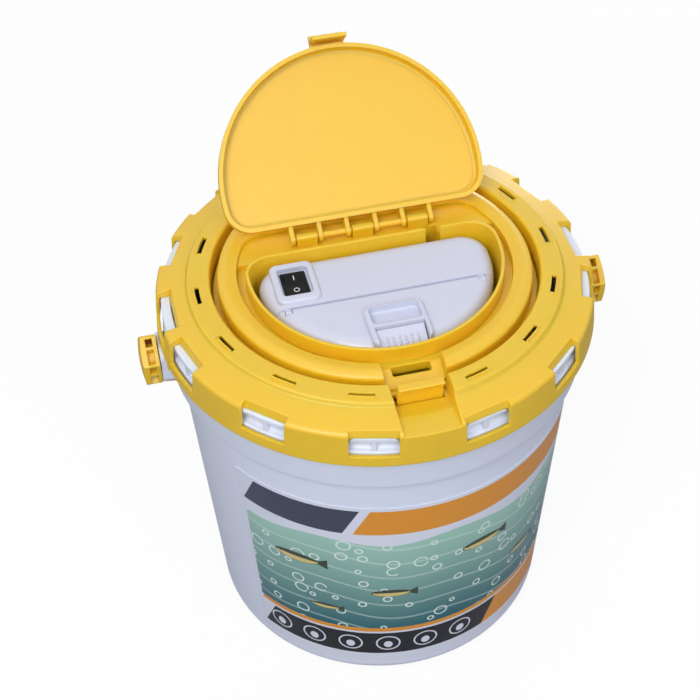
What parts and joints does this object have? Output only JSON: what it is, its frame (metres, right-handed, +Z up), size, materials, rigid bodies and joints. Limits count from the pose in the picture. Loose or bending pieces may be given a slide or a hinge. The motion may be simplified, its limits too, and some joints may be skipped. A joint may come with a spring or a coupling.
{
  "type": "aerated bait bucket",
  "caption": "Insulated live-bait bucket with a snap ring, flip lid, sunken battery air pump under a hinged hatch, and a swinging bail handle.",
  "frame": {"origin": "centre of the bucket's base, on the surface it stands on", "axes": "+Z up; -Y towards the catch and the label; +X along the handle's pivot line, to the right seen from the front"},
  "size_m": [0.2876, 0.2634, 0.3509],
  "materials": {
    "yellow_plastic": "satin moulded polypropylene",
    "bucket_plastic": "satin moulded polyethylene",
    "case_plastic": "smooth moulded ABS",
    "black_plastic": "satin nylon",
    "foam": "beaded expanded foam",
    "label_film": "printed film",
    "rubber": "smooth",
    "steel": "zinc plated",
    "brass": "plain strip",
    "cell_jacket": "gloss jacket",
    "tube_vinyl": "soft vinyl"
  },
  "bodies": {
    "bucket": {"bucket_shell": "bucket_plastic", "foam_liner": "foam", "front_label": "label_film", "snap_ring": "yellow_plastic", "gasket_seat": "yellow_plastic", "lid_gasket": "rubber", "lid_hinge_pin": "steel"},
    "handle": {"bail_handle": "yellow_plastic"},
    "catch": {"ring_catch": "yellow_plastic"},
    "lid": {"flip_lid": "yellow_plastic", "lid_deck": "yellow_plastic", "lid_bridge": "yellow_plastic", "pump_well": "yellow_plastic"},
    "hatch": {"hatch_cover": "yellow_plastic", "hatch_rim": "yellow_plastic", "hatch_arms": "yellow_plastic"},
    "pump_unit": {"unit_tub": "case_plastic", "unit_cover": "case_plastic", "case_gasket": "rubber", "case_screws": "steel", "switch_body": "black_plastic", "switch_terminals": "brass", "pump_motor": "steel", "pump_bracket": "steel", "bracket_pads": "rubber", "pump_head": "black_plastic", "head_cover": "black_plastic", "head_screws": "steel", "flap_valves": "rubber", "rubber_bell": "rubber", "air_tube": "tube_vinyl", "outlet_barb": "case_plastic", "battery_left": "cell_jacket", "battery_right": "cell_jacket", "contact_springs": "steel"},
    "door": {"battery_door": "case_plastic", "bridge_contact": "brass"},
    "latch": {"door_latch": "case_plastic"},
    "rocker": {"switch_rocker": "black_plastic"},
    "shaft": {"motor_shaft": "steel"},
    "rod": {"pump_rod": "black_plastic"}
  },
  "joints": [
    {"name": "handle_swing", "type": "hinge", "parent": "bucket", "child": "handle", "pos_m": [0, 0, 0.217], "axis": [1, 0, 0], "range_deg": [0, 274]},
    {"name": "lid_hinge", "type": "hinge", "parent": "bucket", "child": "lid", "pos_m": [0, 0.095, 0.264], "axis": [-1, 0, 0], "range_deg": [0, 90]},
    {"name": "catch_flex", "type": "hinge", "parent": "bucket", "child": "catch", "pos_m": [0, -0.1003, 0.244], "axis": [1, 0, 0], "range_deg": [0, 8], "stiffness_Nm_per_rad": 0.6},
    {"name": "hatch_hinge", "type": "hinge", "parent": "lid", "child": "hatch", "pos_m": [0, 0.0315, 0.2617], "axis": [-1, 0, 0], "range_deg": [-135, 0]},
    {"name": "unit_lift", "type": "slide", "parent": "lid", "child": "pump_unit", "axis": [0, 0, 1], "range_m": [0, 0.09]},
    {"name": "door_hinge", "type": "hinge", "parent": "pump_unit", "child": "door", "pos_m": [0, -0.028, 0.2586], "axis": [-1, 0, 0], "range_deg": [0, 90]},
    {"name": "latch_press", "type": "hinge", "parent": "door", "child": "latch", "pos_m": [0, -0.0579, 0.262], "axis": [1, 0, 0], "range_deg": [0, 6], "stiffness_Nm_per_rad": 0.5},
    {"name": "rocker_tilt", "type": "hinge", "parent": "pump_unit", "child": "rocker", "pos_m": [-0.049, -0.0062, 0.2586], "axis": [-1, 0, 0], "range_deg": [0, 16]},
    {"name": "motor_spin", "type": "hinge", "parent": "pump_unit", "child": "shaft", "pos_m": [0, -0.0055, 0.2079], "axis": [1, 0, 0], "continuous": true},
    {"name": "rod_stroke", "type": "slide", "parent": "pump_unit", "child": "rod", "axis": [0, 0, 1], "range_m": [-0.0012, 0.0012], "stiffness_N_per_m": 200, "deforming": ["rubber_bell"]}
  ]
}
